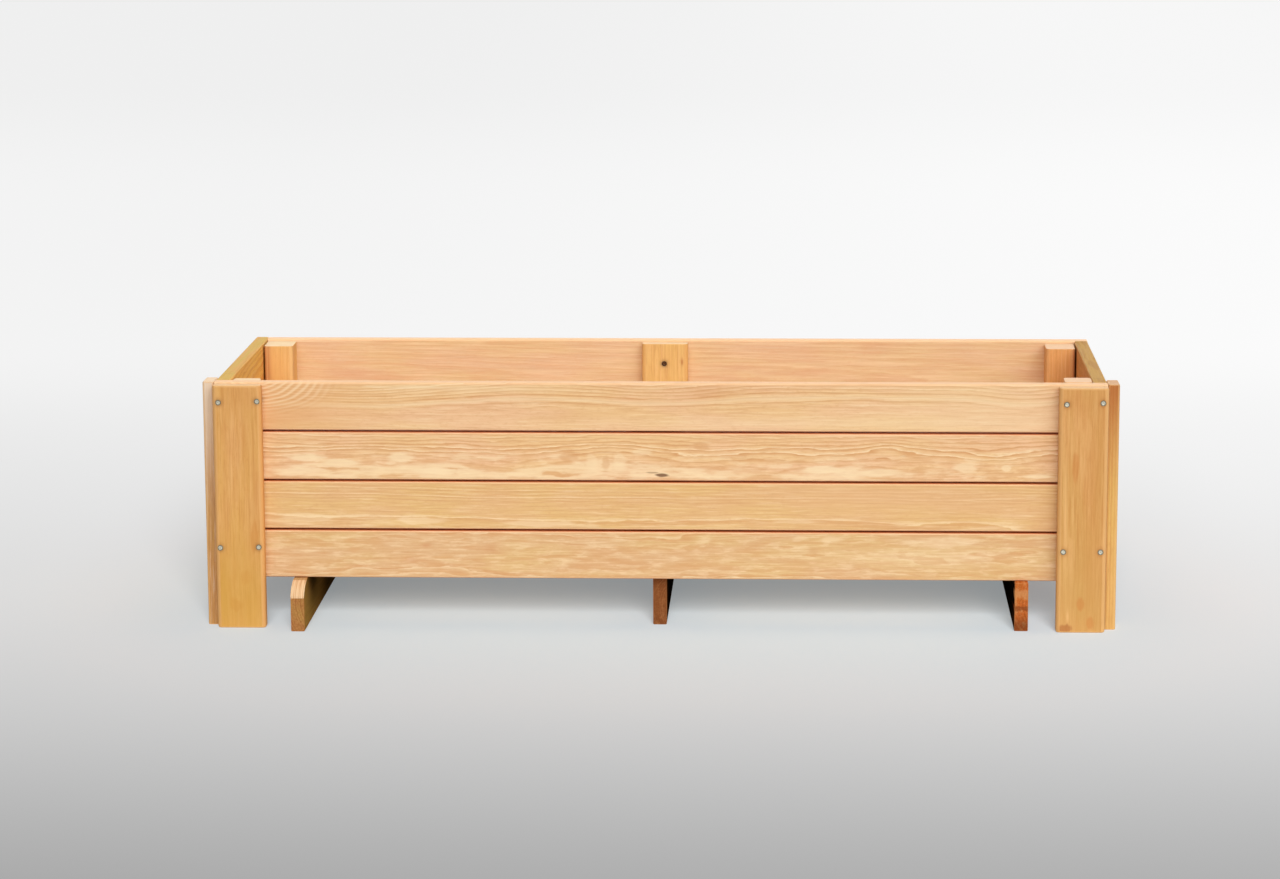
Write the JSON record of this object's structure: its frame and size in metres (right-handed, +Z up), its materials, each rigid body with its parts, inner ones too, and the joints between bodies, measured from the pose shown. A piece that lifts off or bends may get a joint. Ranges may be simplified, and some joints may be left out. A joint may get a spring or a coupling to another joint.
{
  "type": "trough planter",
  "caption": "Long open timber trough planter: board walls, upright front corner boards, slatted floor, carried on boards on edge.",
  "frame": {"origin": "on the ground, under the middle of the bounding box", "axes": "+X along the trough to the right as seen from the front, +Y from the front to the back, +Z up"},
  "size_m": [1.2, 0.418, 0.327],
  "materials": {
    "wall_wood": "planed, pale, unpainted",
    "side_wood": "planed, yellow, unpainted",
    "corner_wood": "planed, orange, unpainted",
    "trim_wood": "planed, unpainted",
    "inner_wood": "planed, orange, unpainted",
    "floor_wood": "planed, unpainted",
    "bearer_wood": "planed, brown, end grain at the front",
    "screw_steel": "zinc-plated"
  },
  "bodies": {
    "root": {"back_board_1": "wall_wood", "back_board_2": "wall_wood", "back_board_3": "wall_wood", "back_board_4": "wall_wood", "batten_back": "inner_wood", "batten_front": "inner_wood", "bearer_left": "bearer_wood", "bearer_middle": "bearer_wood", "bearer_right": "bearer_wood", "corner_board_left": "corner_wood", "corner_board_right": "corner_wood", "floor_board_1": "floor_wood", "floor_board_2": "floor_wood", "floor_board_3": "floor_wood", "floor_board_4": "floor_wood", "floor_board_5": "floor_wood", "front_board_1": "wall_wood", "front_board_2": "wall_wood", "front_board_3": "wall_wood", "front_board_4": "wall_wood", "left_board_1": "side_wood", "left_board_2": "side_wood", "left_board_3": "side_wood", "left_board_4": "side_wood", "post_front_left": "inner_wood", "post_front_right": "inner_wood", "post_rear_left": "inner_wood", "post_rear_right": "inner_wood", "right_board_1": "side_wood", "right_board_2": "side_wood", "right_board_3": "side_wood", "right_board_4": "side_wood", "screw_batten_1": "screw_steel", "screw_batten_2": "screw_steel", "screw_batten_3": "screw_steel", "screw_batten_4": "screw_steel", "screw_corner_left_low_inner": "screw_steel", "screw_corner_left_low_outer": "screw_steel", "screw_corner_left_top_inner": "screw_steel", "screw_corner_left_top_outer": "screw_steel", "screw_corner_right_low_inner": "screw_steel", "screw_corner_right_low_outer": "screw_steel", "screw_corner_right_top_inner": "screw_steel", "screw_corner_right_top_outer": "screw_steel", "screw_rear_left_1": "screw_steel", "screw_rear_left_2": "screw_steel", "screw_rear_left_3": "screw_steel", "screw_rear_left_4": "screw_steel", "screw_rear_right_1": "screw_steel", "screw_rear_right_2": "screw_steel", "screw_rear_right_3": "screw_steel", "screw_rear_right_4": "screw_steel", "screw_trim_left_low": "screw_steel", "screw_trim_left_top": "screw_steel", "screw_trim_right_low": "screw_steel", "screw_trim_right_top": "screw_steel", "side_trim_left": "trim_wood", "side_trim_right": "trim_wood"}
  },
  "joints": []
}
